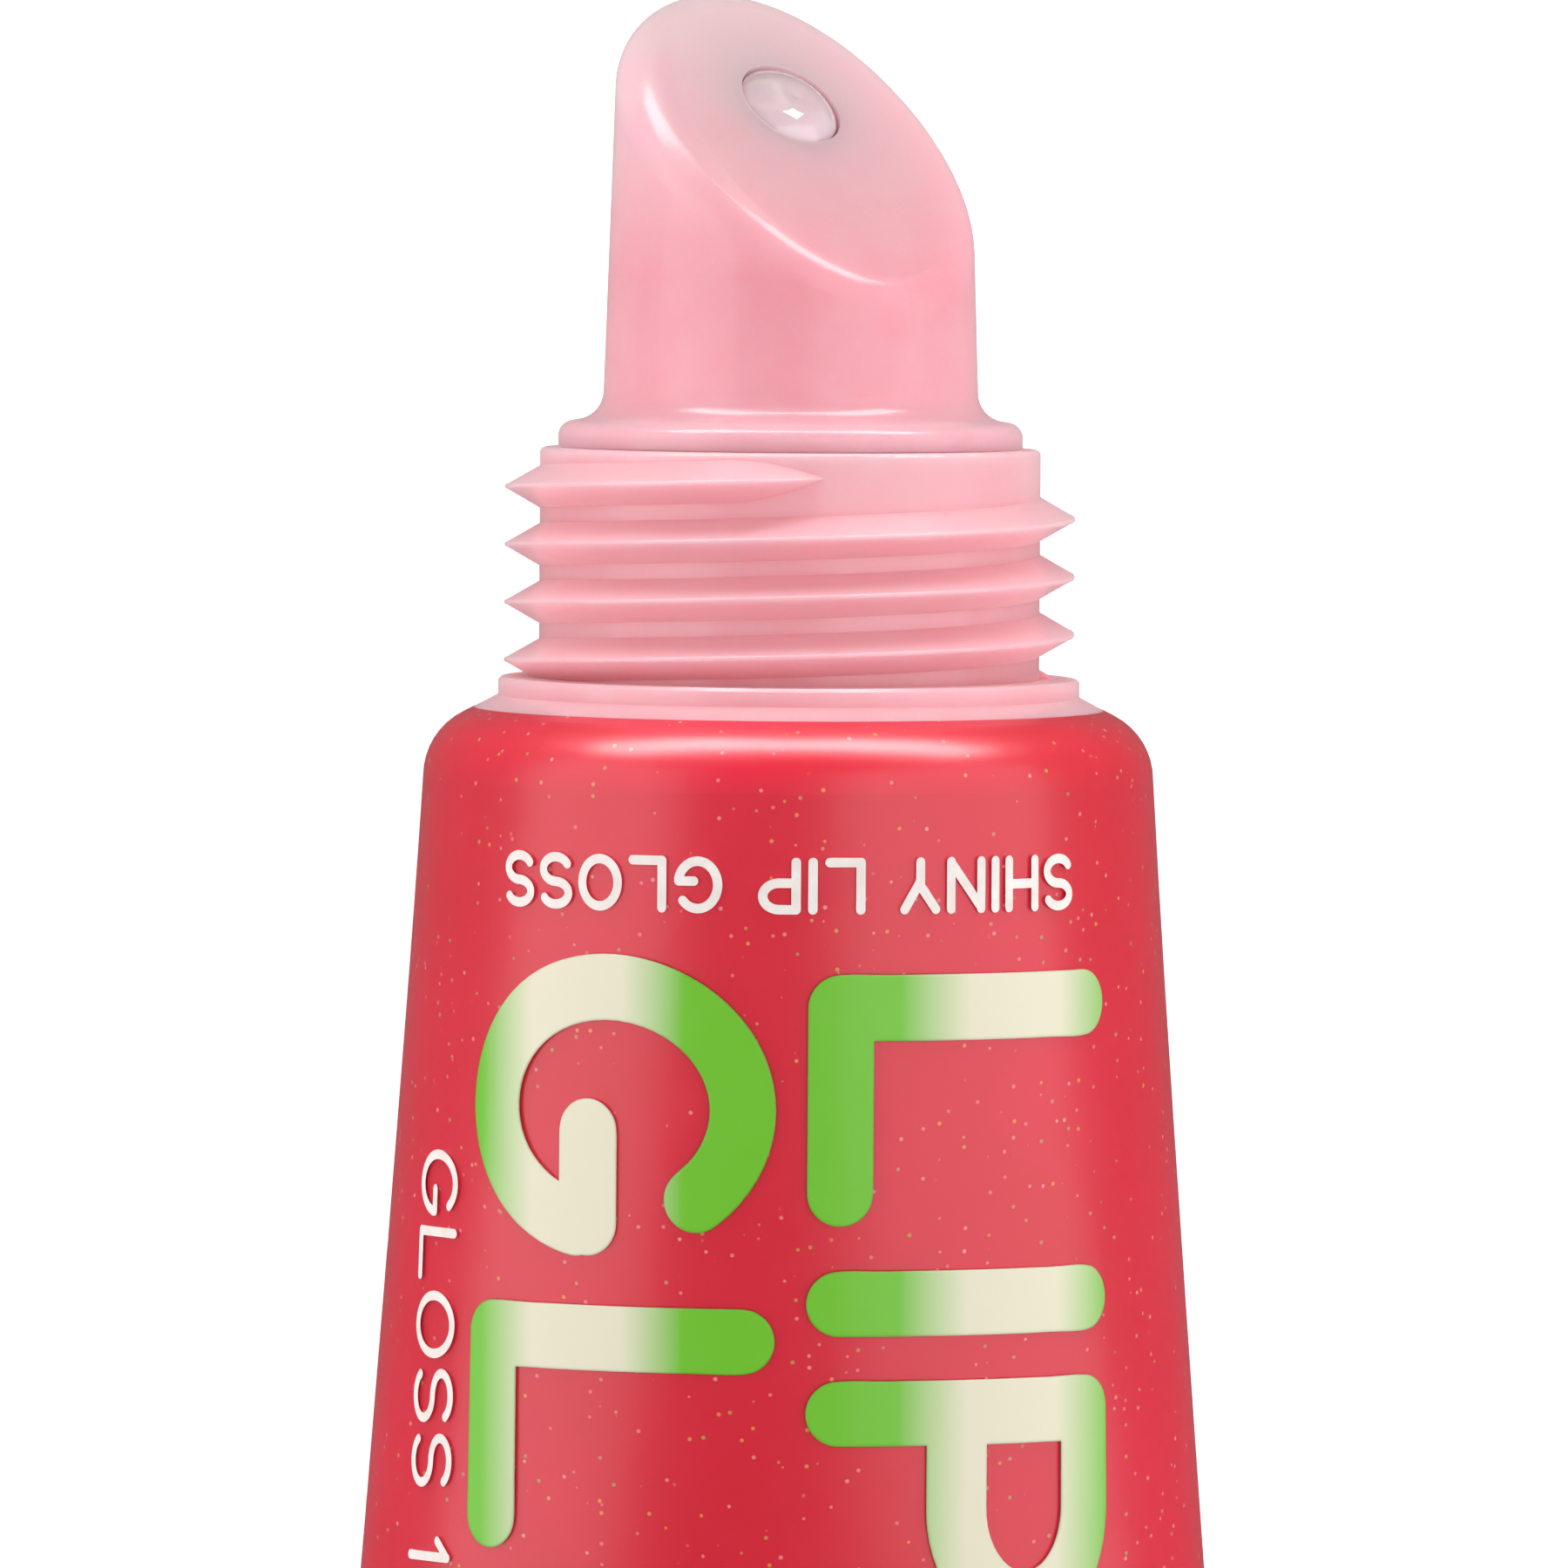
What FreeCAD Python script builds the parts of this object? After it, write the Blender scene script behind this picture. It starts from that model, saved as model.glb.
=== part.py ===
import FreeCAD, Part
import math
import os
from FreeCAD import Matrix, Placement, Rotation, Vector

# Squeeze tube of lip gloss with a slanted applicator tip and a screw cap.
#
# The tube lies on its flat underside with its neck pointing along +Y, and the cap lies
# unscrewed in line with the neck. Everything is first modelled upright, with the tube's axis
# on Z, the applicator at the top and the printed front facing -Y. lay_down() then puts each
# piece in the row frame. Heights are measured from the shoulder plane, where the round
# sleeve starts to flatten towards the crimp. All sizes are in millimetres.

# Sleeve: a thin round tube, flattened and welded shut at the tail
TUBE_RADIUS = 9.5
SLEEVE_WALL = 0.45
TAPER_LENGTH = 66.0
TAPER_SECTIONS = (0.0, 0.06, 0.16, 0.3, 0.45, 0.6, 0.75, 0.87, 0.95, 1.0)
WIDTH_BEND = 1.08
OVAL_POINTS = 48
DEPTH_BEND = 1.25
DEPTH_FALL = 0.8
CRIMP_LENGTH = 5.0
CRIMP_SERRATIONS = 40
SERRATION_DEPTH = 0.12
SHOULDER_ROUND = 1.86
SHOULDER_SLOPE = math.radians(27.0)
SLEEVE_LIP_RADIUS = 8.2
CRIMP_HALF_WIDTH = math.pi * TUBE_RADIUS / 2

# Head: shoulder, collar and threaded neck in one moulding
COLLAR_RADIUS = 7.56
COLLAR_TOP = 2.60
COLLAR_HEIGHT = 0.47
NECK_RADIUS = 6.51
NECK_TOP = 8.57
NECK_BORE = 5.0
WELD_GAP = 0.02
NECK_EDGE_ROUND = 0.15
COLLAR_CHAMFER = 0.08
HEAD_BOTTOM = -1.2
HEAD_SKIRT_RADIUS = 8.8
HEAD_SKIRT_WALL = 0.7
HEAD_SKIRT_TOP = -0.3
HEAD_BEND_RADIUS = 7.3
HEAD_BEND_HEIGHT = 0.55
BORE_FOOT = 1.2

# Neck thread, right-handed, single start
THREAD_RADIUS = 7.42
PITCH = 1.5
THREAD_START = 2.275
THREAD_END = 7.94
THREAD_HALF_BASE = 0.56
THREAD_HALF_CREST = 0.07
THREAD_ROOT_SINK = 0.2
FADE_ANGLE = 24.0

# Applicator tip: snaps into the neck; the slanted face turns right of the printed front
FLANGE_RADIUS = 6.04
FLANGE_TOP = 9.2
FLANGE_ROUND = 0.4
TIP_FOOT = 9.4
TIP_FOOT_ROUND = 0.75
TIP_BASE_RADIUS = 4.87
TIP_BASE_HEIGHT = 10.0
TIP_DRAFT = math.radians(1.84)
TIP_STOCK_TOP = 26.0
SLANT_ANGLE = math.radians(44.5)
SLANT_AZIMUTH = math.radians(37.4)
SLANT_HEIGHT = 17.44
NOSE_ROUND = 1.15
HEEL_ROUND = 0.45
SKIRT_RADIUS = 4.96
SKIRT_BOTTOM = 4.3
TIP_BORE = 3.6
TIP_BORE_NARROWING = 0.35
TIP_BORE_LENGTH = 18.0
FACE_WALL = 1.5
ORIFICE_RADIUS = 1.42
ORIFICE_RISE = 0.1
ORIFICE_EDGE = 0.12

# Gloss that fills the tube, the tip and the orifice
GLOSS_GAP = 0.05
GLOSS_OVERLAP = 2.0
BEAD_HEIGHT = 0.38

# Print: thin ink on the sleeve's front. Places across are measured round the sleeve
INK_GAP = 0.01
INK_DEPTH = 0.07
CAP_STEPS = 8
LETTER_SPACING = 0.13
LARGE_LETTER = 8.95
LARGE_PEN = 1.7
LARGE_WORDS = (("LIP", 0.55, -4.6), ("GLOSS", -9.2, -4.15))
LARGE_PRINT_SAG = 3.5
UPPER_LETTER = 1.45
UPPER_LINE_START = 8.25
UPPER_LINE_FOOT = -1.6
SIDE_LETTER = 2.0
SIDE_LINE_FOOT = -11.9
SIDE_LINE_START = -9.5
SMALL_PEN = 0.24

# Cap: glossy shell over a threaded insert with a sealing ring
CAP_RADIUS = 9.5
CAP_MOUTH = 2.05
CAP_HEIGHT = 24.0
CAP_DRAFT = 0.1
SHELL_WALL = 0.9
SHELL_TOP = 1.2
INSERT_GAP = 0.03
INSERT_MOUTH = 2.25
INSERT_TOP = 24.8
INSERT_ROOF = 1.4
INSERT_BORE = 5.5
INSERT_SHOULDER_RISE = 0.8
INSERT_SHOULDER_SLOPE = 0.6
INSERT_END_BAND = 0.9
INSERT_END_SLOPE = 0.3
LINER_RADIUS = 6.6
COUNTERBORE_RADIUS = 7.85
COUNTERBORE_TOP = 3.05
THREAD_CLEARANCE = 0.2
INSERT_THREAD_START = THREAD_START + PITCH
INSERT_THREAD_TOP = 8.45
INSERT_THREAD_HALF_BASE = 0.56
INSERT_THREAD_HALF_CREST = 0.10
SEAL_BOTTOM = 9.32
SEAL_TOP = 10.3
SEAL_OUTER = 6.5
SEAL_INNER = 5.6
SEAL_GAP = 0.05
CAP_TURNS_OFF = 20
CAP_TRAVEL = CAP_TURNS_OFF * PITCH

# Row frame: the origin is under the middle of the whole length
TAIL_END = -(TAPER_LENGTH + CRIMP_LENGTH)
CAP_END = CAP_MOUTH + CAP_HEIGHT + CAP_TRAVEL
SHOULDER_Y = -(TAIL_END + CAP_END) / 2

FUSE_TOLERANCE = 0.001
AXIS = Vector(0, 0, 1)
ORIGIN = Vector(0, 0, 0)


def at(radius, height):
    """A point of a profile, in the half-plane that is turned about the tube's axis."""
    return Vector(radius, 0, height)


def rounded_outline(corners):
    """Closed wire through (radius, height, rounding) corners, with tangent arcs where the
    rounding isn't zero."""
    count = len(corners)
    trimmed = []
    for i, (radius, height, rounding) in enumerate(corners):
        here = at(radius, height)
        back = at(*corners[i - 1][:2]) - here
        ahead = at(*corners[(i + 1) % count][:2]) - here
        if rounding == 0:
            trimmed.append((here, None, here))
            continue
        half = back.getAngle(ahead) / 2
        back.normalize()
        ahead.normalize()
        reach = rounding / math.tan(half)
        middle = back + ahead
        middle.normalize()
        top = here + middle * (rounding / math.sin(half) - rounding)
        trimmed.append((here + back * reach, top, here + ahead * reach))
    edges = []
    for i, (first, top, last) in enumerate(trimmed):
        if top is not None:
            edges.append(Part.Arc(first, top, last).toShape())
        following = trimmed[(i + 1) % count][0]
        if last.distanceToPoint(following) > 1e-6:
            edges.append(Part.LineSegment(last, following).toShape())
    return Part.Wire(edges)


def turned(outline, degrees=360):
    """Solid of revolution about the tube's axis."""
    return Part.Face(outline).revolve(ORIGIN, AXIS, degrees)


def fuse_all(shapes):
    """One solid from overlapping or touching ones."""
    return shapes[0].fuse(shapes[1:], FUSE_TOLERANCE).removeSplitter().Solids[0]


# ---------------------------------------------------------------- sleeve


def half_width(share):
    """Half the sleeve's width at this share of the taper."""
    return TUBE_RADIUS + (CRIMP_HALF_WIDTH - TUBE_RADIUS) * share**WIDTH_BEND


def half_depth(share):
    """Half the sleeve's depth, front to back. The film doesn't stretch, so it shrinks as the
    width grows, and keeps the girth within 2% of the round tube's."""
    return SLEEVE_WALL + (TUBE_RADIUS - SLEEVE_WALL) * (1 - share**DEPTH_BEND) ** DEPTH_FALL


def cross_section(share, inset):
    """Oval section of the sleeve at this share of the taper, moved in by inset. Its back stays
    on the plane that the tube lies on."""
    across = half_width(share) - inset
    deep = half_depth(share) - inset
    middle = Vector(0, TUBE_RADIUS - half_depth(share), -share * TAPER_LENGTH)
    angles = [2 * math.pi * i / OVAL_POINTS for i in range(OVAL_POINTS)]
    points = [middle + Vector(across * math.cos(a), deep * math.sin(a), 0) for a in angles]
    oval = Part.BSplineCurve()
    knots = [i / OVAL_POINTS for i in range(OVAL_POINTS + 1)]
    oval.interpolate(Points=points, Parameters=knots, PeriodicFlag=True)
    return Part.Wire(oval.toShape())


def taper(inset, end_share=1.0):
    """The part of the sleeve that flattens from a circle to a line, as a solid."""
    sections = [cross_section(share * end_share, inset) for share in TAPER_SECTIONS]
    return Part.makeLoft(sections, True, False)


def shoulder_outline(inset):
    """Points of the rounded shoulder, moved in by inset: where it starts on the shoulder
    plane, the middle and end of its arc, and where it meets the lip's radius."""
    centre = TUBE_RADIUS - SHOULDER_ROUND
    radius = SHOULDER_ROUND - inset
    end_angle = math.pi / 2 - SHOULDER_SLOPE
    points = [
        at(centre + radius * math.cos(a), radius * math.sin(a))
        for a in (0, end_angle / 2, end_angle)
    ]
    rise = (points[2].x - SLEEVE_LIP_RADIUS) * math.tan(SHOULDER_SLOPE)
    points.append(at(SLEEVE_LIP_RADIUS, points[2].z + rise))
    return points


def shoulder_lip():
    """Ring where the sleeve curls over the head's shoulder."""
    out = shoulder_outline(0.0)
    inner = shoulder_outline(SLEEVE_WALL)
    outline = Part.Wire(
        [
            Part.Arc(*out[:3]).toShape(),
            Part.LineSegment(out[2], out[3]).toShape(),
            Part.LineSegment(out[3], inner[3]).toShape(),
            Part.LineSegment(inner[3], inner[2]).toShape(),
            Part.Arc(inner[2], inner[1], inner[0]).toShape(),
            Part.LineSegment(inner[0], out[0]).toShape(),
        ]
    )
    return turned(outline)


def crimp():
    """Welded tail: two walls pressed together, with serrations along the tube."""
    back = TUBE_RADIUS
    front = back - 2 * SLEEVE_WALL
    top = -TAPER_LENGTH
    step = 2 * CRIMP_HALF_WIDTH / CRIMP_SERRATIONS
    edge = [Vector(-CRIMP_HALF_WIDTH, front, top)]
    for i in range(CRIMP_SERRATIONS):
        left = -CRIMP_HALF_WIDTH + i * step
        edge.append(Vector(left + step / 2, front + SERRATION_DEPTH, top))
        edge.append(Vector(left + step, front, top))
    edge.append(Vector(CRIMP_HALF_WIDTH, back, top))
    edge.append(Vector(-CRIMP_HALF_WIDTH, back, top))
    edge.append(edge[0])
    return Part.Face(Part.makePolygon(edge)).extrude(Vector(0, 0, -CRIMP_LENGTH))


def sleeve():
    cavity = taper(SLEEVE_WALL, end_share=0.985)
    wall = taper(0.0).cut(cavity)
    return fuse_all([wall, shoulder_lip(), crimp()])


# ---------------------------------------------------------------- head and thread


def helix_point(turn_degrees, radius, height):
    """A point beside the helix, turned about the axis by turn_degrees."""
    angle = math.radians(turn_degrees)
    return Vector(radius * math.cos(angle), radius * math.sin(angle), height)


def thread_profile(turn_degrees, height, base, crest, half_base, half_crest):
    """V-shaped profile of a thread at one place of its helix, with a rounded crest. base and
    crest are radii, so a crest inside its base makes an internal thread."""

    def point(radius, rise):
        return helix_point(turn_degrees, radius, height + rise)

    round_off = half_crest if crest > base else -half_crest
    low, high = point(crest - round_off, -half_crest), point(crest - round_off, half_crest)
    return Part.Wire(
        [
            Part.LineSegment(point(base, -half_base), low).toShape(),
            Part.Arc(low, point(crest, 0), high).toShape(),
            Part.LineSegment(high, point(base, half_base)).toShape(),
            Part.LineSegment(point(base, half_base), point(base, -half_base)).toShape(),
        ]
    )


def thread(start, turns, base, crest, half_base, half_crest):
    """Right-handed helical ridge."""
    path = Part.makeHelix(PITCH, turns * PITCH, (base + crest) / 2)
    path.translate(Vector(0, 0, start))
    profile = thread_profile(0, start, base, crest, half_base, half_crest)
    return Part.Wire(path.Edges).makePipeShell([profile], True, True)


def thread_fade(start_degrees, start, base, crest, half_base, half_crest):
    """Run-out, where the ridge sinks into the neck over FADE_ANGLE."""
    steps = 4
    sections = []
    for i in range(steps + 1):
        share = i / steps
        turn = start_degrees + FADE_ANGLE * share
        height = start + PITCH * FADE_ANGLE * share / 360
        size = math.cos(share * math.pi / 2) * 0.92 + 0.08
        top = base + (crest - base) * size
        sections.append(
            thread_profile(turn, height, base, top, half_base * size, half_crest * size)
        )
    return Part.makeLoft(sections, True, False)


def neck_thread():
    base = NECK_RADIUS - THREAD_ROOT_SINK
    slope = (THREAD_HALF_BASE - THREAD_HALF_CREST) / (THREAD_RADIUS - NECK_RADIUS)
    half_base = THREAD_HALF_BASE + slope * THREAD_ROOT_SINK
    sizes = (base, THREAD_RADIUS, half_base, THREAD_HALF_CREST)
    turns = (THREAD_END - THREAD_START) / PITCH - FADE_ANGLE / 360
    ridge = thread(THREAD_START, turns, *sizes)
    fade = thread_fade(turns * 360, THREAD_START + turns * PITCH, *sizes)
    return [ridge, fade]


def tube_head():
    """Shoulder, collar and neck. The sleeve's lip lies in a rebate round the shoulder."""
    lip = shoulder_outline(0.0)[3]
    under = shoulder_outline(SLEEVE_WALL + WELD_GAP)
    collar_foot = COLLAR_TOP - COLLAR_HEIGHT
    lip_edge = SLEEVE_LIP_RADIUS - WELD_GAP
    skirt_inside = HEAD_SKIRT_RADIUS - HEAD_SKIRT_WALL
    edges = [
        Part.LineSegment(at(lip_edge, lip.z), at(lip_edge, under[3].z)).toShape(),
        Part.LineSegment(at(lip_edge, under[3].z), under[2]).toShape(),
        Part.Arc(under[2], under[1], under[0]).toShape(),
    ]
    path = [
        under[0],
        at(HEAD_SKIRT_RADIUS, HEAD_BOTTOM),
        at(skirt_inside, HEAD_BOTTOM),
        at(skirt_inside, HEAD_SKIRT_TOP),
        at(HEAD_BEND_RADIUS, HEAD_BEND_HEIGHT),
        at(NECK_BORE, BORE_FOOT),
        at(NECK_BORE, NECK_TOP),
        at(NECK_RADIUS - NECK_EDGE_ROUND, NECK_TOP),
    ]
    edges += [Part.LineSegment(a, b).toShape() for a, b in zip(path, path[1:])]
    bend = NECK_EDGE_ROUND * (1 - math.sqrt(0.5))
    edges.append(
        Part.Arc(
            path[-1],
            at(NECK_RADIUS - bend, NECK_TOP - bend),
            at(NECK_RADIUS, NECK_TOP - NECK_EDGE_ROUND),
        ).toShape()
    )
    path = [
        at(NECK_RADIUS, NECK_TOP - NECK_EDGE_ROUND),
        at(NECK_RADIUS, COLLAR_TOP),
        at(COLLAR_RADIUS - COLLAR_CHAMFER, COLLAR_TOP),
        at(COLLAR_RADIUS, COLLAR_TOP - COLLAR_CHAMFER),
        at(COLLAR_RADIUS, collar_foot),
        at(lip_edge, lip.z),
    ]
    edges += [Part.LineSegment(a, b).toShape() for a, b in zip(path, path[1:])]
    return fuse_all([turned(Part.Wire(edges))] + neck_thread())


# ---------------------------------------------------------------- applicator tip


def slant_normal():
    """Outward normal of the slanted face."""
    across = math.sin(SLANT_ANGLE)
    return Vector(
        across * math.sin(SLANT_AZIMUTH), -across * math.cos(SLANT_AZIMUTH), math.cos(SLANT_ANGLE)
    )


def above_slant(depth):
    """Large block that lies outside the slanted face, moved into the tip by depth."""
    size = 40.0
    block = Part.makeBox(size, size, size, Vector(-size / 2, -size / 2, 0))
    foot = Vector(0, 0, SLANT_HEIGHT) - slant_normal() * depth
    block.Placement = Placement(foot, Rotation(AXIS, slant_normal()))
    return block


def tip_outline():
    """Outside of the tip before the slanted cut, down to its skirt."""
    top_radius = TIP_BASE_RADIUS - (TIP_STOCK_TOP - TIP_BASE_HEIGHT) * math.tan(TIP_DRAFT)
    return rounded_outline(
        [
            (0, SKIRT_BOTTOM, 0),
            (SKIRT_RADIUS, SKIRT_BOTTOM, 0.3),
            (SKIRT_RADIUS, NECK_TOP, 0),
            (FLANGE_RADIUS, NECK_TOP, 0.05),
            (FLANGE_RADIUS, FLANGE_TOP, FLANGE_ROUND),
            (TIP_BASE_RADIUS + 0.02, TIP_FOOT, TIP_FOOT_ROUND),
            (top_radius, TIP_STOCK_TOP, 0),
            (0, TIP_STOCK_TOP, 0),
        ]
    )


def orifice_middle():
    """Middle of the orifice, a little above where the axis meets the slanted face."""
    uphill = AXIS - slant_normal() * math.cos(SLANT_ANGLE)
    uphill.normalize()
    return Vector(0, 0, SLANT_HEIGHT) + uphill * ORIFICE_RISE


def orifice(radius, length_in, length_out):
    """Cylinder of the orifice, square to the slanted face."""
    start = orifice_middle() - slant_normal() * length_in
    return Part.makeCylinder(radius, length_in + length_out, start, slant_normal())


def tip_cavity(gap):
    """Space inside the tip, moved in by gap: the bore up to a wall under the slanted face."""
    foot = Vector(0, 0, SKIRT_BOTTOM - 1)
    radius = TIP_BORE - gap
    bore = Part.makeCone(radius, radius - TIP_BORE_NARROWING, TIP_BORE_LENGTH, foot, AXIS)
    return bore.cut(above_slant(FACE_WALL + gap))


def lies_on_slant(edge):
    """True if the whole edge lies in the slanted face's plane."""
    middle = edge.valueAt((edge.FirstParameter + edge.LastParameter) / 2)
    points = [vertex.Point for vertex in edge.Vertexes] + [middle]
    foot = Vector(0, 0, SLANT_HEIGHT)
    return all(abs((point - foot).dot(slant_normal())) < 1e-4 for point in points)


def applicator_tip():
    """Slanted tip. Its outside is made in two mirrored halves, so that the rim of the slanted
    face has two edges from the nose to the heel, whose rounding shrinks on the way."""
    half = turned(tip_outline(), 180)
    half.rotate(ORIGIN, AXIS, math.degrees(SLANT_AZIMUTH) - 90)
    half = half.cut(above_slant(0.0))
    other_half = half.mirror(ORIGIN, AXIS.cross(slant_normal()))
    solid = half.fuse(other_half).Solids[0]
    rim = [
        edge for edge in solid.Edges if isinstance(edge.Curve, Part.Ellipse) and lies_on_slant(edge)
    ]
    solid = solid.makeFillet(NOSE_ROUND, HEEL_ROUND, rim)
    solid = solid.cut(tip_cavity(0.0)).cut(orifice(ORIFICE_RADIUS, 4.0, 1.0))
    return solid.removeSplitter().Solids[0]


# ---------------------------------------------------------------- gloss


def gloss_fill():
    """Gloss that fills the tube up to a bead that stands out of the orifice."""
    neck = NECK_BORE - GLOSS_GAP
    skirt = HEAD_SKIRT_RADIUS - HEAD_SKIRT_WALL - GLOSS_GAP
    foot = HEAD_BOTTOM - GLOSS_OVERLAP
    tip_foot = SKIRT_BOTTOM - GLOSS_GAP
    column = Part.makePolygon(
        [
            at(0, foot),
            at(skirt, foot),
            at(skirt, HEAD_SKIRT_TOP - GLOSS_GAP),
            at(HEAD_BEND_RADIUS - GLOSS_GAP, HEAD_BEND_HEIGHT - GLOSS_GAP),
            at(neck, BORE_FOOT - GLOSS_GAP),
            at(neck, tip_foot),
            at(0, tip_foot),
            at(0, foot),
        ]
    )
    under_head = Part.makeBox(40, 40, 80, Vector(-20, -20, HEAD_BOTTOM - GLOSS_GAP - 80))
    reservoir = taper(SLEEVE_WALL + GLOSS_GAP, end_share=0.97).common(under_head)
    plug = orifice(ORIFICE_RADIUS - GLOSS_GAP, FACE_WALL + 1.0, -ORIFICE_EDGE)
    return fuse_all([reservoir, turned(column), tip_cavity(GLOSS_GAP), plug, bead()])


def bead():
    """Domed end of the gloss in the orifice."""
    radius = ORIFICE_RADIUS - GLOSS_GAP
    outline = Part.Wire(
        [
            Part.LineSegment(at(0, 0), at(radius, 0)).toShape(),
            Part.Arc(
                at(radius, 0), at(radius * math.sqrt(0.5), BEAD_HEIGHT * 0.74), at(0, BEAD_HEIGHT)
            ).toShape(),
            Part.LineSegment(at(0, BEAD_HEIGHT), at(0, 0)).toShape(),
        ]
    )
    dome = turned(outline)
    dome.Placement = Placement(
        orifice_middle() - slant_normal() * ORIFICE_EDGE, Rotation(AXIS, slant_normal())
    )
    return dome


# ---------------------------------------------------------------- print


def straight(x1, y1, x2, y2):
    """Centre line of a straight pen stroke, as shares of a letter's box."""
    steps = 8
    return [(x1 + (x2 - x1) * i / steps, y1 + (y2 - y1) * i / steps) for i in range(steps + 1)]


def bow(x, y, half_w, half_h, first, last):
    """Centre line of a bowed pen stroke from one angle to another, in degrees."""
    steps = round(abs(last - first) / 12)
    angles = [math.radians(first + (last - first) * i / steps) for i in range(steps + 1)]
    return [(x + half_w * math.cos(a), y + half_h * math.sin(a)) for a in angles]


# Each letter's width as a share of its height, then its strokes. A slanting stroke ends inside
# the one that it meets, so that the two round ends don't coincide
LETTERS = {
    "G": (0.86, [bow(0.5, 0.5, 0.5, 0.5, 42, 345), straight(0.98, 0.42, 0.6, 0.42)]),
    "H": (0.70, [straight(0, 0, 0, 1), straight(1, 0, 1, 1), straight(0, 0.5, 1, 0.5)]),
    "I": (0.0, [straight(0, 0, 0, 1)]),
    "L": (0.66, [straight(0, 1, 0, 0), straight(0, 0, 1, 0)]),
    "M": (0.86, [straight(0, 0, 0, 1), straight(0.05, 0.93, 0.5, 0.3),
                 straight(0.52, 0.38, 0.95, 0.93), straight(1, 1, 1, 0)]),
    "N": (0.72, [straight(0, 0, 0, 1), straight(0.06, 0.92, 0.94, 0.08), straight(1, 0, 1, 1)]),
    "O": (0.86, [bow(0.5, 0.5, 0.5, 0.5, 85, 275), bow(0.5, 0.5, 0.5, 0.5, -95, 95)]),
    "P": (0.70, [straight(0, 0, 0, 1), straight(0, 1, 0.45, 1)
                 + bow(0.5, 0.72, 0.5, 0.28, 90, -90) + straight(0.45, 0.44, 0, 0.44)]),
    "S": (0.68, [bow(0.5, 0.76, 0.5, 0.24, 28, 260) + bow(0.5, 0.26, 0.5, 0.26, 80, -152)]),
    "Y": (0.70, [straight(0, 1, 0.5, 0.5) + straight(0.5, 0.44, 0.5, 0),
                 straight(1, 1, 0.55, 0.46)]),
    "1": (0.24, [straight(0, 0.75, 0.9, 0.97), straight(1, 1, 1, 0)]),
    "0": (0.60, [bow(0.5, 0.5, 0.5, 0.5, 85, 275), bow(0.5, 0.5, 0.5, 0.5, -95, 95)]),
}


def stroke_outline(points, pen):
    """Closed outline, pen wide and with round ends, round the points of a centre line."""
    half_turn = math.pi / 2
    headings = []
    for i in range(len(points)):
        before = points[max(i - 1, 0)]
        after = points[min(i + 1, len(points) - 1)]
        headings.append(math.atan2(after[1] - before[1], after[0] - before[0]))

    def beside(i, angle):
        x, y = points[i]
        return (x + pen / 2 * math.cos(angle), y + pen / 2 * math.sin(angle))

    last = len(points) - 1
    turns = [i / CAP_STEPS for i in range(1, CAP_STEPS)]
    outline = [beside(i, headings[i] - half_turn) for i in range(last + 1)]
    outline += [beside(last, headings[last] - half_turn + math.pi * t) for t in turns]
    outline += [beside(i, headings[i] + half_turn) for i in range(last, -1, -1)]
    outline += [beside(0, headings[0] + half_turn + math.pi * t) for t in turns]
    return outline


def lettering(text, height, pen, place):
    """Flat faces of a line of text. place() turns a position along the line and a height above
    its foot into a point in front of the sleeve."""
    faces = []
    along = 0.0
    body = height - pen
    for letter in text:
        if letter == " ":
            along += height * 0.5
            continue
        width, strokes = LETTERS[letter]
        for stroke in strokes:
            centre = [(along + pen / 2 + x * width * body, pen / 2 + y * body) for x, y in stroke]
            points = [place(*point) for point in stroke_outline(centre, pen)]
            curve = Part.BSplineCurve()
            curve.interpolate(Points=points, PeriodicFlag=True)
            faces.append(Part.Face(Part.Wire(curve.toShape())))
        along += width * body + pen + height * LETTER_SPACING
    return faces


def on_front(across, height):
    """Point in front of the sleeve, across being measured round its surface."""
    radius = half_width(-height / TAPER_LENGTH)
    return Vector(radius * math.sin(across / radius), -2 * TUBE_RADIUS, height)


def inked(faces, reach):
    """Ink on the sleeve, under flat faces that stand in front of it, down to the plane that is
    reach behind them."""
    stencils = [face.extrude(Vector(0, reach, 0)) for face in faces]
    stencil = stencils[0].fuse(stencils[1:])
    ink = taper(-INK_GAP - INK_DEPTH).cut(taper(-INK_GAP))
    return ink.common(stencil)


def large_print():
    """Two words in large letters that run down the front, with their tops to the right."""
    faces = []
    for text, foot, start in LARGE_WORDS:
        faces += lettering(
            text, LARGE_LETTER, LARGE_PEN, lambda along, up: on_front(foot + up, start - along)
        )
    return inked(faces, 2 * TUBE_RADIUS + LARGE_PRINT_SAG)


def small_print():
    """A line upside down under the shoulder, and one that runs down the left side."""
    faces = lettering(
        "SHINY LIP GLOSS",
        UPPER_LETTER,
        SMALL_PEN,
        lambda along, up: on_front(UPPER_LINE_START - along, UPPER_LINE_FOOT - up),
    )
    faces += lettering(
        "GLOSS 10 ML",
        SIDE_LETTER,
        SMALL_PEN,
        lambda along, up: on_front(SIDE_LINE_FOOT + up, SIDE_LINE_START - along),
    )
    return inked(faces, 2 * TUBE_RADIUS)


# ---------------------------------------------------------------- cap


def cap_shell():
    """Glossy outer shell of the cap, slightly narrower at its closed end."""
    top = CAP_MOUTH + CAP_HEIGHT
    end_radius = CAP_RADIUS - CAP_DRAFT
    roof = top - SHELL_TOP
    return turned(
        rounded_outline(
            [
                (CAP_RADIUS, CAP_MOUTH, 0.2),
                (end_radius, top, 0.8),
                (0, top, 0),
                (0, roof, 0),
                (end_radius - SHELL_WALL, roof, 0.4),
                (CAP_RADIUS - SHELL_WALL, CAP_MOUTH, 0.1),
            ]
        )
    )


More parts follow.
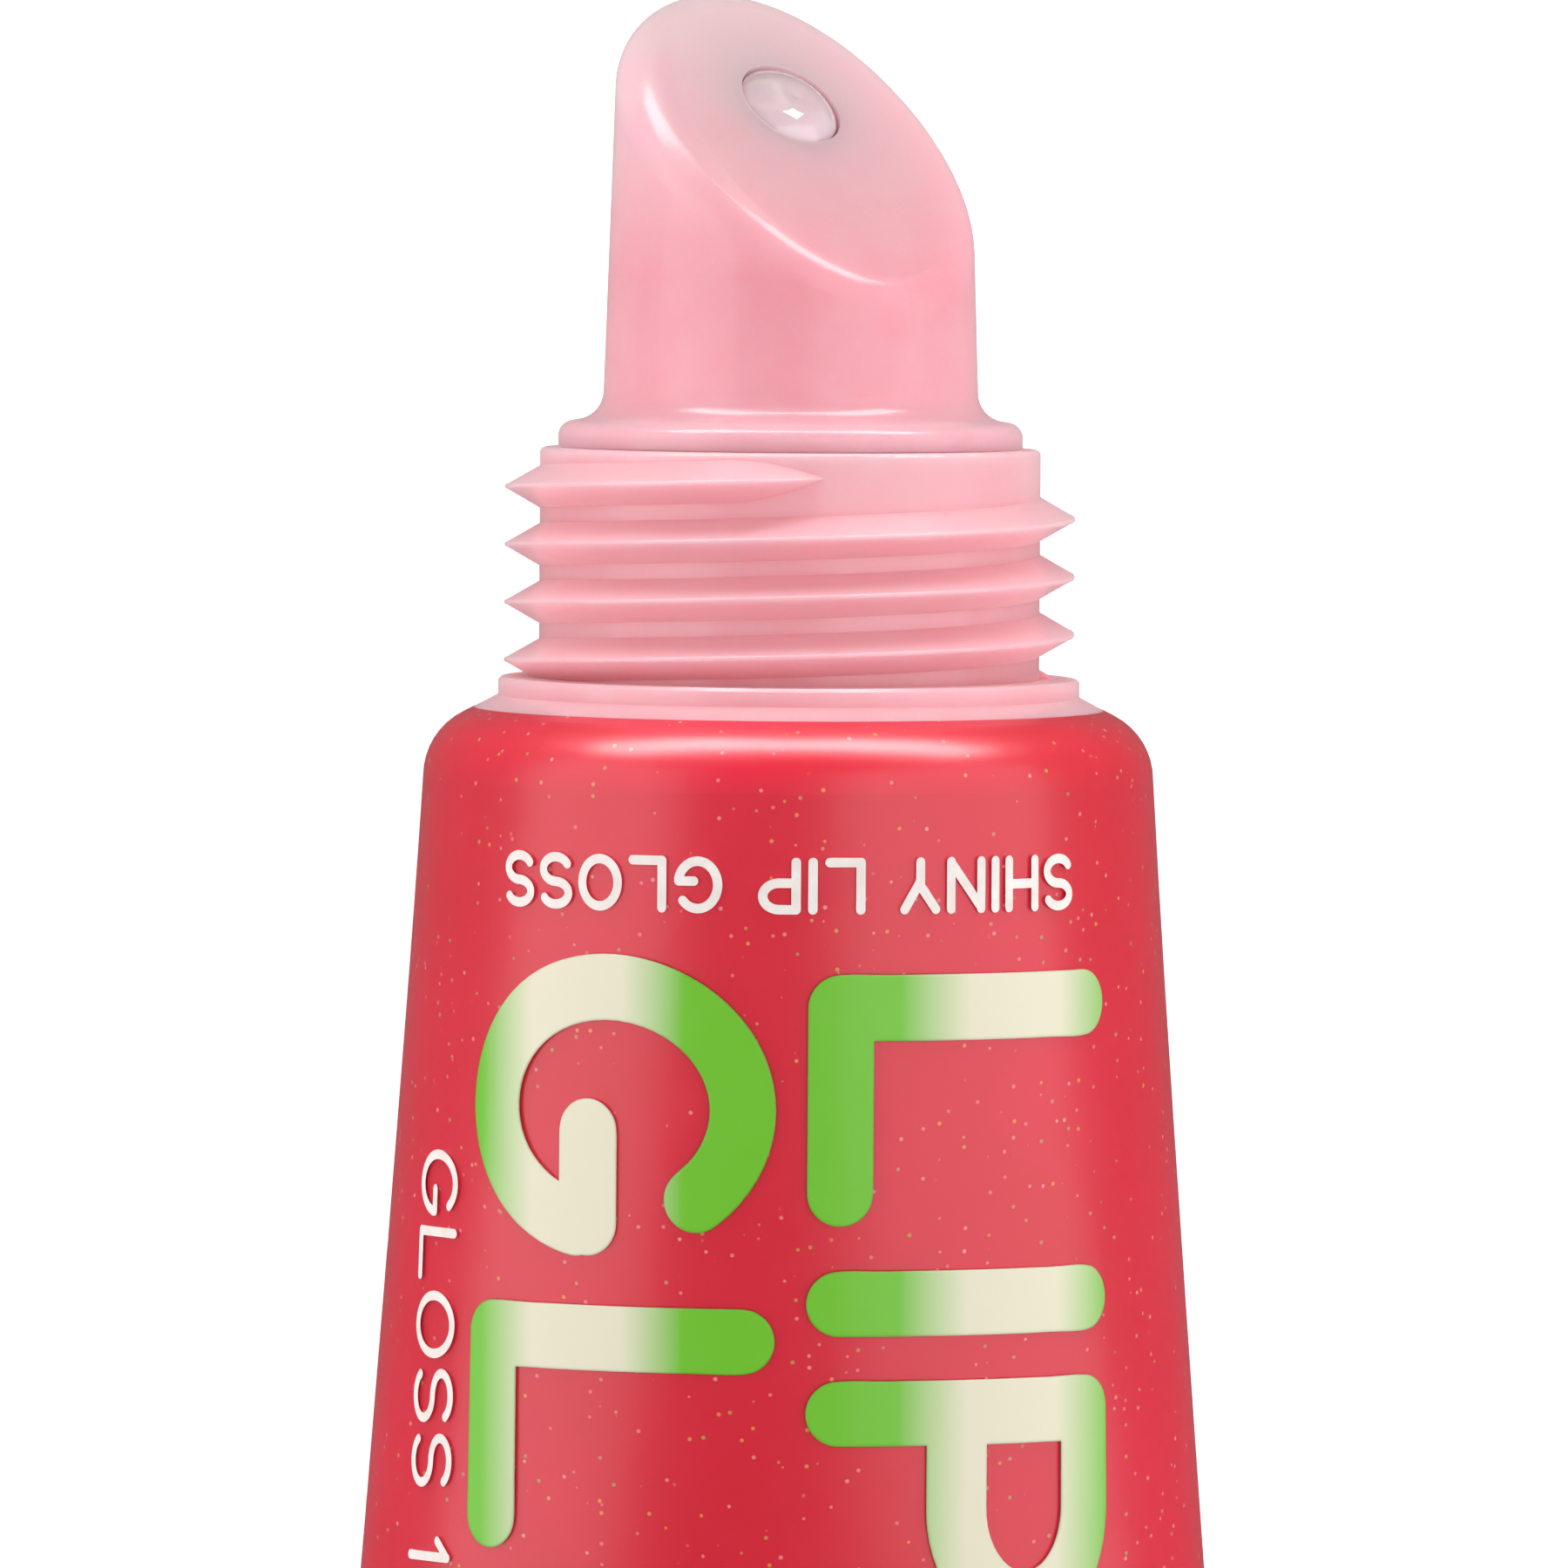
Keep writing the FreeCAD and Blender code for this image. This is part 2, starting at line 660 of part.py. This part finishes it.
def cap_insert():
    """Threaded liner inside the cap's shell, closed over the applicator."""
    shell_inside = CAP_RADIUS - SHELL_WALL - INSERT_GAP
    end_inside = shell_inside - CAP_DRAFT
    root = THREAD_RADIUS + THREAD_CLEARANCE
    seat = SEAL_OUTER + SEAL_GAP
    seal_roof = SEAL_TOP + SEAL_GAP
    shoulder = seal_roof + INSERT_SHOULDER_RISE
    band_foot = INSERT_TOP - INSERT_END_BAND
    liner = turned(
        rounded_outline(
            [
                (shell_inside, INSERT_MOUTH, 0),
                (shell_inside - CAP_DRAFT / 2, shoulder, 0),
                (LINER_RADIUS, shoulder + INSERT_SHOULDER_SLOPE, 0.3),
                (LINER_RADIUS, band_foot - INSERT_END_SLOPE, 0.3),
                (end_inside, band_foot, 0),
                (end_inside, INSERT_TOP, 0.45),
                (0, INSERT_TOP, 0),
                (0, INSERT_TOP - INSERT_ROOF, 0),
                (INSERT_BORE, INSERT_TOP - INSERT_ROOF, 1.0),
                (INSERT_BORE, seal_roof, 0),
                (seat, seal_roof, 0),
                (seat, INSERT_THREAD_TOP + 0.5, 0),
                (root, INSERT_THREAD_TOP + 0.2, 0),
                (root, COUNTERBORE_TOP, 0),
                (COUNTERBORE_RADIUS, COUNTERBORE_TOP, 0),
                (COUNTERBORE_RADIUS, INSERT_MOUTH, 0),
            ]
        )
    )
    turns = (INSERT_THREAD_TOP - INSERT_THREAD_HALF_BASE - INSERT_THREAD_START) / PITCH
    ridge = thread(
        INSERT_THREAD_START,
        turns,
        root + THREAD_ROOT_SINK,
        NECK_RADIUS + THREAD_CLEARANCE,
        INSERT_THREAD_HALF_BASE,
        INSERT_THREAD_HALF_CREST,
    )
    ridge.rotate(ORIGIN, AXIS, 180)
    return fuse_all([liner, ridge])


def cap_seal():
    """Soft ring in the cap that presses on the applicator's flange."""
    return turned(
        rounded_outline(
            [
                (SEAL_INNER, SEAL_BOTTOM, 0.1),
                (SEAL_OUTER, SEAL_BOTTOM, 0.1),
                (SEAL_OUTER, SEAL_TOP, 0),
                (SEAL_INNER, SEAL_TOP, 0),
            ]
        )
    )


# ---------------------------------------------------------------- row


def lay_down(shape, lift_off=0.0):
    """Lays an upright piece on its back with the neck towards +Y, moved off along it."""
    laid = shape.copy()
    laid.translate(Vector(0, 0, lift_off))
    laid.rotate(ORIGIN, Vector(1, 0, 0), -90)
    laid.translate(Vector(0, SHOULDER_Y, TUBE_RADIUS))
    return laid


NODES = {
    "sleeve": lay_down(sleeve()),
    "tube_head": lay_down(tube_head()),
    "applicator_tip": lay_down(applicator_tip()),
    "gloss": lay_down(gloss_fill()),
    "large_print": lay_down(large_print()),
    "small_print": lay_down(small_print()),
    "cap_seal": lay_down(cap_seal(), CAP_TRAVEL),
    "cap_insert": lay_down(cap_insert(), CAP_TRAVEL),
    "cap_shell": lay_down(cap_shell(), CAP_TRAVEL),
}

os.makedirs("parts", exist_ok=True)
for name, shape in NODES.items():
    shape.exportStep(f"parts/{name}.step")
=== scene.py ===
import math

import bpy
from mathutils import Euler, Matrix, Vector

# Squeeze tube of lip gloss on a pale table, seen from straight above. The tube lies along Y
# with its neck towards +Y, and its cap lies beyond the neck, out of the camera's view.
MM = 0.001

# Millimetres: where the shoulder plane lies along Y, how far apart the flecks are, how far to
# each side the large print's colours reach, and how round its letters' edges look
SHOULDER_Y = 7.475
FLECK_SPACING = 0.33
PRINT_REACH = 10.0
PRINT_EDGE = 0.12

LIGHT_TARGET = Vector((0, 0.005, 0.01))
CAMERA_AIM = Vector((-0.107 * MM, 7.3 * MM, 9.5 * MM))
CAMERA_TILT = math.radians(2.7)
CAMERA_ROLL = math.radians(0.4)
CAMERA_DISTANCE = 0.35
CAMERA_LENS = 308.8

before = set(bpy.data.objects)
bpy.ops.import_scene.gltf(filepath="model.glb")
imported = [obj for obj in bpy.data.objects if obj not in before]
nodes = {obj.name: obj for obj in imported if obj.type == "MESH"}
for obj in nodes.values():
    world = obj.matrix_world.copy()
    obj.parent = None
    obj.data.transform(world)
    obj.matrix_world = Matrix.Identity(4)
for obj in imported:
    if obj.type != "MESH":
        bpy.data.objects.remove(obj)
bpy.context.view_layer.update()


# ---------------------------------------------------------------- materials


class Shader:
    """A node-based material, built from short calls. Textures follow the row's coordinates, so
    they keep their place and size on every piece."""

    def __init__(self, name):
        self.material = bpy.data.materials.new(name)
        self.material.use_nodes = True
        self.tree = self.material.node_tree
        self.surface = self.tree.nodes["Principled BSDF"]
        self.place = self.tree.nodes.new("ShaderNodeTexCoord").outputs["Object"]

    def set(self, **values):
        for name, value in values.items():
            self.surface.inputs[name.replace("_", " ")].default_value = value

    def link(self, output, input_name):
        self.tree.links.new(output, self.surface.inputs[input_name])

    def node(self, kind, inputs=None, **settings):
        made = self.tree.nodes.new("ShaderNode" + kind)
        for name, value in settings.items():
            setattr(made, name, value)
        for name, value in (inputs or {}).items():
            if isinstance(value, bpy.types.NodeSocket):
                self.tree.links.new(value, made.inputs[name])
            else:
                made.inputs[name].default_value = value
        return made

    def noise(self, size_mm, detail=3.0, stretch=(1, 1, 1)):
        """Noise whose features are about size_mm across, from 0 to 1."""
        scale = [s / (size_mm * MM) for s in stretch]
        mapped = self.node("Mapping", {"Vector": self.place, "Scale": scale})
        made = self.node("TexNoise", {"Vector": mapped.outputs[0], "Scale": 1.0, "Detail": detail})
        return made.outputs["Fac"]

    def ramp(self, factor, *stops):
        """Colours at positions from 0 to 1, given as (position, colour) pairs."""
        made = self.node("ValToRGB", {"Fac": factor})
        elements = made.color_ramp.elements
        while len(elements) < len(stops):
            elements.new(0.5)
        for element, (position, colour) in zip(elements, stops):
            element.position = position
            element.color = grey(colour) if isinstance(colour, (int, float)) else colour
        return made.outputs["Color"]

    def mix(self, factor, first, second):
        made = self.node("Mix", data_type="RGBA")
        for index, value in ((0, factor), (6, first), (7, second)):
            socket = made.inputs[index]
            if isinstance(value, bpy.types.NodeSocket):
                self.tree.links.new(value, socket)
            else:
                socket.default_value = value
        return made.outputs[2]

    def bump(self, height, depth_mm):
        """Relief of depth_mm on the surface."""
        made = self.node("Bump", {"Height": height, "Distance": depth_mm * MM})
        self.link(made.outputs[0], "Normal")

    def axis(self, letter):
        """One of the row's coordinates, in millimetres."""
        split = self.node("SeparateXYZ", {"Vector": self.place})
        scaled = self.node("Math", {0: split.outputs[letter], 1: 1000.0}, operation="MULTIPLY")
        return scaled.outputs[0]


def grey(value):
    return (value, value, value, 1.0)


def srgb(red, green, blue):
    """Colour as a screen shows it, from 0 to 255, as the shader wants it."""
    linear = []
    for level in (red, green, blue):
        level /= 255.0
        linear.append(level / 12.92 if level <= 0.04045 else ((level + 0.055) / 1.055) ** 2.4)
    return (*linear, 1.0)


def sleeve_film():
    """Satin red film over red gloss, with fine coloured glitter in the gloss."""
    shader = Shader("sleeve_film")
    tone = shader.noise(6.0)
    base = shader.ramp(tone, (0.3, srgb(218, 0, 38)), (0.7, srgb(226, 2, 50)))
    cells = shader.node(
        "TexVoronoi", {"Vector": shader.place, "Scale": 1 / (FLECK_SPACING * MM)}, feature="F1"
    )
    fleck = shader.ramp(cells.outputs["Distance"], (0.13, 1.0), (0.19, 0.0))
    chosen = shader.node("SeparateColor", {"Color": cells.outputs["Color"]})
    some = shader.ramp(chosen.outputs["Red"], (0.55, 0.0), (0.60, 0.7))
    colours = shader.ramp(
        chosen.outputs["Green"],
        (0.0, srgb(250, 160, 80)),
        (0.35, srgb(150, 170, 70)),
        (0.6, srgb(245, 120, 150)),
        (1.0, srgb(240, 170, 160)),
    )
    shown = shader.node("Math", {0: fleck, 1: some}, operation="MULTIPLY")
    shader.link(shader.mix(shown.outputs[0], base, colours), "Base Color")
    rough = shader.ramp(shader.noise(0.5), (0.3, 0.34), (0.7, 0.42))
    shader.link(rough, "Roughness")
    shader.bump(shader.noise(9.0, 2.0, (1, 0.4, 1)), 0.05)
    shader.set(
        Subsurface_Weight=0.15,
        Subsurface_Radius=(2.0, 0.2, 0.3),
        Subsurface_Scale=MM,
        Specular_IOR_Level=0.3,
        Coat_Weight=1.0,
        Coat_Roughness=0.3,
        Coat_IOR=1.6,
    )
    return shader.material


def frosted(name, stops):
    """Frosted moulded plastic that light passes into. stops are (height above the shoulder in
    millimetres, colour) pairs along the tube."""
    shader = Shader(name)
    low, high = stops[0][0], stops[-1][0]
    along = shader.node(
        "MapRange",
        {"Value": shader.axis("Y"), "From Min": SHOULDER_Y + low, "From Max": SHOULDER_Y + high},
    )
    tint = shader.ramp(
        along.outputs[0], *[((height - low) / (high - low), colour) for height, colour in stops]
    )
    cloudy = shader.ramp(shader.noise(1.5), (0.3, 0.0), (0.7, 0.06))
    shader.link(shader.mix(cloudy, tint, grey(0.9)), "Base Color")
    shader.link(shader.ramp(shader.noise(0.3), (0.3, 0.34), (0.7, 0.46)), "Roughness")
    shader.bump(shader.noise(0.12, 2.0), 0.006)
    shader.set(
        Subsurface_Weight=0.7,
        Subsurface_Radius=(2.5, 1.5, 1.5),
        Subsurface_Scale=MM,
        Specular_IOR_Level=0.45,
        Sheen_Weight=0.25,
        Sheen_Roughness=0.4,
        Coat_Weight=0.5,
        Coat_Roughness=0.15,
    )
    return shader.material


def wet_gloss_painted_light():
    """Wet gloss in the orifice, painted pale pink: painted light that makes the bead read bright,
    where the gloss in the tube is red.
    """
    shader = Shader("wet_gloss_painted_light")
    # Pale pink stands in for light on the wet bead: painted light, not the gloss's own red
    base = shader.ramp(shader.noise(0.8), (0.3, srgb(244, 206, 214)), (0.7, srgb(248, 216, 222)))
    shader.link(base, "Base Color")
    shader.set(Roughness=0.06, Coat_Weight=1.0, Coat_Roughness=0.03, Subsurface_Weight=0.5)
    shader.set(Subsurface_Radius=(2.0, 0.7, 0.7), Subsurface_Scale=MM)
    return shader.material


def large_ink():
    """Raised ink, green down the middle of the tube, cream further out, green at the sides."""
    shader = Shader("large_ink")
    across = shader.node(
        "MapRange",
        {"Value": shader.axis("X"), "From Min": -PRINT_REACH, "From Max": PRINT_REACH},
    )
    green = srgb(112, 196, 38)
    cream = srgb(232, 226, 200)
    colours = shader.ramp(
        across.outputs[0],
        (0.11, green),
        (0.175, cream),
        (0.29, cream),
        (0.37, green),
        (0.645, green),
        (0.735, cream),
        (0.85, cream),
        (0.92, green),
    )
    shader.link(colours, "Base Color")
    shader.link(shader.ramp(shader.noise(0.4), (0.3, 0.28), (0.7, 0.36)), "Roughness")
    bevel = shader.node("Bevel", {"Radius": PRINT_EDGE * MM}, samples=6)
    relief = shader.node(
        "Bump",
        {"Height": shader.noise(0.25), "Distance": 0.004 * MM, "Normal": bevel.outputs[0]},
    )
    shader.link(relief.outputs[0], "Normal")
    shader.set(Coat_Weight=0.3, Coat_Roughness=0.15)
    return shader.material


def small_ink():
    """Flat, slightly pink white ink."""
    shader = Shader("small_ink")
    base = shader.ramp(shader.noise(0.5), (0.3, srgb(238, 225, 220)), (0.7, srgb(248, 240, 236)))
    shader.link(base, "Base Color")
    shader.bump(shader.noise(0.2), 0.003)
    shader.set(Roughness=0.4)
    return shader.material


def moulded(name, colour, shade, roughness, coat):
    """Plain moulded plastic with faint flow marks."""
    shader = Shader(name)
    base = shader.ramp(shader.noise(5.0), (0.3, colour), (0.7, shade))
    shader.link(base, "Base Color")
    rough = shader.ramp(shader.noise(0.6), (0.3, roughness), (0.7, roughness * 1.25))
    shader.link(rough, "Roughness")
    shader.bump(shader.noise(4.0, 2.0), 0.004)
    shader.set(Coat_Weight=coat, Coat_Roughness=0.04)
    return shader.material


def paint(node, material):
    """Gives a node of the frame its material."""
    for material_slot in nodes[node].material_slots:
        material_slot.material = material


HEAD_TINTS = (
    (0.0, srgb(236, 160, 171)),
    (2.4, srgb(238, 165, 174)),
    (8.0, srgb(240, 171, 180)),
)
# The tip's colours grow paler towards its end: painted light that lifts the slanted face the lamps
# leave greyish and whitens the nose
TIP_TINTS_WITH_PAINTED_LIGHT = (
    (8.6, srgb(240, 164, 175)),
    (13.0, srgb(241, 155, 168)),
    (17.0, srgb(250, 187, 197)),
    (20.4, srgb(252, 214, 221)),
)
paint("sleeve", sleeve_film())
paint("tube_head", frosted("frosted_head", HEAD_TINTS))
paint("applicator_tip", frosted("frosted_tip", TIP_TINTS_WITH_PAINTED_LIGHT))
paint("gloss", wet_gloss_painted_light())
paint("large_print", large_ink())
paint("small_print", small_ink())
paint("cap_shell", moulded("cap_plastic", srgb(106, 192, 34), srgb(112, 198, 40), 0.16, 0.6))
paint("cap_insert", moulded("insert_plastic", srgb(232, 232, 228), srgb(238, 238, 235), 0.4, 0.0))
paint("cap_seal", moulded("seal_rubber", srgb(222, 222, 216), srgb(228, 228, 222), 0.6, 0.0))


# ---------------------------------------------------------------- stage


def pale_floor():
    """White floor, which glows a little and stays out of the reflections."""
    bpy.ops.mesh.primitive_plane_add(size=3.0, location=(0, 0, 0))
    floor = bpy.context.object
    floor.name = "floor"
    shader = Shader("floor_white")
    base = shader.ramp(shader.noise(40.0), (0.3, srgb(250, 250, 250)), (0.7, srgb(253, 253, 253)))
    shader.link(base, "Base Color")
    shader.set(Roughness=0.7)
    shader.link(base, "Emission Color")
    shader.set(Emission_Strength=0.6)
    floor.data.materials.append(shader.material)
    floor.visible_glossy = False


def soft_light(name, zenith, azimuth, distance, size, radiance, matte=True, shine=True):
    """Rectangular light that faces the tube. zenith is its angle from straight up, and azimuth
    the side that it stands on, counted from +X towards +Y, both in degrees. size is its width
    and its height, in metres. matte and shine say whether it lights matte surfaces and whether
    it shows in reflections."""
    tilt, turn = math.radians(zenith), math.radians(azimuth)
    away = Vector(
        (math.sin(tilt) * math.cos(turn), math.sin(tilt) * math.sin(turn), math.cos(tilt))
    )
    data = bpy.data.lights.new(name, "AREA")
    data.shape = "RECTANGLE"
    data.size, data.size_y = size
    data.energy = radiance * math.pi * size[0] * size[1]
    light = bpy.data.objects.new(name, data)
    light.location = LIGHT_TARGET + away * distance
    light.rotation_euler = away.to_track_quat("Z", "Y").to_euler()
    light.visible_diffuse = matte
    light.visible_glossy = shine
    bpy.context.collection.objects.link(light)


def studio():
    """Soft light from both sides and from beyond the neck, in a dim white room."""
    world = bpy.data.worlds.new("studio")
    world.use_nodes = True
    world.node_tree.nodes["Background"].inputs["Color"].default_value = (1, 1, 1, 1)
    world.node_tree.nodes["Background"].inputs["Strength"].default_value = 0.15
    bpy.context.scene.world = world
    soft_light("left_box", 62, 180, 0.40, (0.6, 0.42), 1.25)
    soft_light("right_box", 52, 0, 0.40, (0.6, 0.60), 1.15)
    soft_light("far_wall", 84, 90, 0.45, (0.60, 0.18), 6.0, shine=False)
    soft_light("far_shine", 82, 90, 0.45, (0.80, 0.18), 9.5, matte=False)
    soft_light("overhead_fill", 0, 0, 0.50, (0.6, 0.6), 0.95, shine=False)


def camera():
    """Looks down from above, leaning a little towards the neck's end."""
    data = bpy.data.cameras.new("camera")
    data.lens = CAMERA_LENS
    data.sensor_width = 36.0
    data.clip_start = 0.01
    made = bpy.data.objects.new("camera", data)
    lean = Vector((0, math.sin(CAMERA_TILT), math.cos(CAMERA_TILT)))
    made.location = CAMERA_AIM + lean * CAMERA_DISTANCE
    turn = Euler((-CAMERA_TILT, 0, 0)).to_matrix() @ Euler((0, 0, CAMERA_ROLL)).to_matrix()
    made.rotation_euler = turn.to_euler()
    bpy.context.collection.objects.link(made)
    bpy.context.scene.camera = made


pale_floor()
studio()
camera()
bpy.context.scene.view_settings.view_transform = "Standard"
